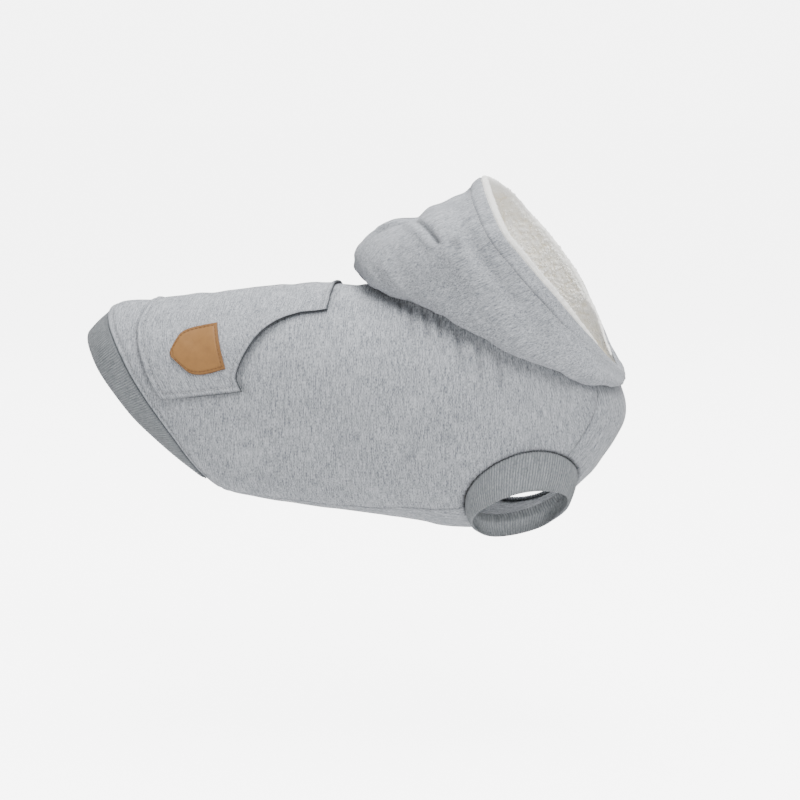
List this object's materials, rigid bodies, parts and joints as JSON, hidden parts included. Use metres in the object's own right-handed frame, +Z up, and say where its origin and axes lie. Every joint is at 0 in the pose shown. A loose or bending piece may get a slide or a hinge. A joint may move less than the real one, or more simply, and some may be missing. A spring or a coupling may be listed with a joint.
{
  "type": "dog hoodie",
  "caption": "Sweatshirt-cloth dog hoodie in its worn form: open body tube, leg holes with ribbed cuffs, fleece-lined hood lying back, pouch pocket over the rump.",
  "frame": {"origin": "inside of the back on the middle plane, where the garment lies on the wearer's spine, just behind the hood", "axes": "+X along the back towards the head, +Y to the wearer's left, +Z up"},
  "size_m": [0.4037, 0.157, 0.2618],
  "materials": {
    "body_cloth": "heather grey sweatshirt knit, matt, with fine light and dark streaks",
    "rib_knit": "darker grey ribbed knit, matt",
    "fleece_lining": "cream curly fleece, matt",
    "patch_leather": "tan leather, smooth and half matt, bare of any mark"
  },
  "bodies": {
    "root": {"back_panel": "body_cloth", "belly_panel": "body_cloth", "rear_band": "rib_knit", "cuff_right": "rib_knit", "cuff_left": "rib_knit", "hood_right": "body_cloth", "hood_left": "body_cloth", "hood_lining": "fleece_lining", "kangaroo_pocket": "body_cloth", "leather_patch": "patch_leather"}
  },
  "joints": []
}
